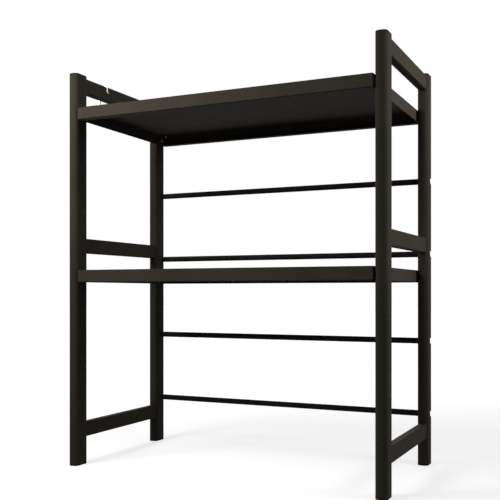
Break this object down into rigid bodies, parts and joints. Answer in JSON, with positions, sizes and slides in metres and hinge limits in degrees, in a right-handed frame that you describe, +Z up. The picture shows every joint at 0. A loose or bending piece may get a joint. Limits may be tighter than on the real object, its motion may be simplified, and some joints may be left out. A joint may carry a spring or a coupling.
{
  "type": "microwave stand",
  "caption": "Open black steel rack for stacked countertop ovens: flat-oval posts, coped side rails, folded sheet shelves, round back bars and a sliding hook.",
  "frame": {"origin": "centre of the footprint on the floor", "axes": "+Z up, +Y towards the back, +X to the right seen from the front"},
  "size_m": [0.6068, 0.31, 0.72],
  "materials": {
    "black_coat": "satin powder coat, warm black",
    "black_plastic": "matte",
    "zinc_steel": "bright zinc",
    "bright_steel": "bright-plated strip"
  },
  "bodies": {
    "rack": {"bottom_back_bar": "black_coat", "left_bottom_rail": "black_coat", "left_front_cap": "black_plastic", "left_front_foot": "black_plastic", "left_front_post": "black_coat", "left_middle_rail": "black_coat", "left_rear_cap": "black_plastic", "left_rear_foot": "black_plastic", "left_rear_post": "black_coat", "left_top_rail": "black_coat", "lower_back_bar": "black_coat", "middle_shelf": "black_coat", "right_bottom_rail": "black_coat", "right_front_cap": "black_plastic", "right_front_foot": "black_plastic", "right_front_post": "black_coat", "right_middle_rail": "black_coat", "right_rear_cap": "black_plastic", "right_rear_foot": "black_plastic", "right_rear_post": "black_coat", "right_top_rail": "black_coat", "shelf_inserts": "zinc_steel", "shelf_screws": "zinc_steel", "top_back_bar": "black_coat", "top_shelf": "black_coat", "upper_back_bar": "black_coat"},
    "hook": {"s_hook": "bright_steel"}
  },
  "joints": [
    {"name": "hook_slide", "type": "slide", "parent": "rack", "child": "hook", "axis": [0, 1, 0], "range_m": [-0.059, 0.176]}
  ]
}
